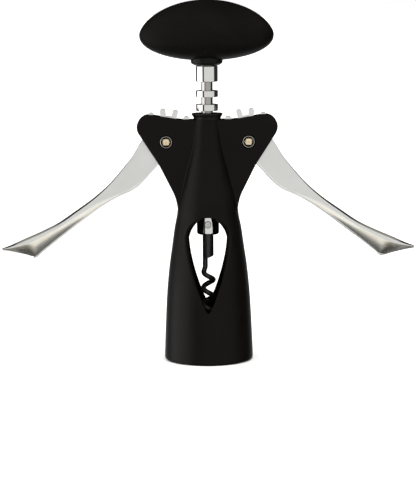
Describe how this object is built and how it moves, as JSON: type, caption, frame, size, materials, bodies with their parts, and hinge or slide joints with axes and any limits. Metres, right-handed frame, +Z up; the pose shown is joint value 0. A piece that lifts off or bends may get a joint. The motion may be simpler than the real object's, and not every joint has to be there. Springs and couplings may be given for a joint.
{
  "type": "lever corkscrew",
  "caption": "Lever corkscrew: bell body over the bottle, toothed wing levers that rack a ringed spindle with an open worm up and down, and an oval turning knob.",
  "frame": {"origin": "centre of the bell's bottom rim, on the surface that it stands on", "axes": "+Z up along the worm's axis, +X towards the right lever, -Y towards the front"},
  "size_m": [0.2242, 0.0482, 0.1954],
  "materials": {
    "soft_touch_body": "soft-touch black paint on cast zinc",
    "seat_nylon": "moulded nylon",
    "guide_nylon": "moulded nylon, satin",
    "lever_chrome": "satin to polished chrome on cast zinc",
    "pin_brass": "nickelled brass, faced",
    "bush_steel": "turned",
    "shaft_chrome": "bright chrome",
    "worm_coating": "dark non-stick coating",
    "cross_pin_steel": "ground",
    "ferrule_black": "satin black",
    "core_plastic": "as moulded",
    "soft_touch_grip": "soft-touch overmould"
  },
  "bodies": {
    "body": {"body_casting": "soft_touch_body", "bottle_seat_ring": "seat_nylon", "pivot_pin_left": "pin_brass", "pivot_pin_right": "pin_brass", "pivot_bush_front_left": "bush_steel", "pivot_bush_front_right": "bush_steel", "pivot_bush_rear_left": "bush_steel", "pivot_bush_rear_right": "bush_steel"},
    "guide": {"top_guide_bush": "guide_nylon"},
    "spindle": {"rack_shaft": "shaft_chrome", "worm": "worm_coating", "worm_pin": "cross_pin_steel", "knob_ferrule": "ferrule_black", "knob_core": "core_plastic", "knob_grip": "soft_touch_grip", "handle_pin": "cross_pin_steel"},
    "wing_left": {"lever_left": "lever_chrome"},
    "wing_right": {"lever_right": "lever_chrome"}
  },
  "joints": [
    {"name": "lever_left_swing", "type": "hinge", "parent": "body", "child": "wing_left", "pos_m": [-0.02225, 0, 0.1192], "axis": [0, 1, 0], "range_deg": [-47, 83]},
    {"name": "lever_right_swing", "type": "hinge", "parent": "body", "child": "wing_right", "pos_m": [0.02225, 0, 0.1192], "axis": [0, -1, 0], "range_deg": [-47, 83]},
    {"name": "knob_turn", "type": "hinge", "parent": "body", "child": "guide", "pos_m": [0, 0, 0.132], "axis": [0, 0, 1], "continuous": true},
    {"name": "spindle_slide", "type": "slide", "parent": "guide", "child": "spindle", "axis": [0, 0, 1], "range_m": [-0.02542, 0.0144]}
  ],
  "couplings": [
    {"joint": "lever_right_swing", "follows": "lever_left_swing", "ratio": 1},
    {"joint": "spindle_slide", "follows": "lever_left_swing", "m_per_rad": -0.017547}
  ]
}
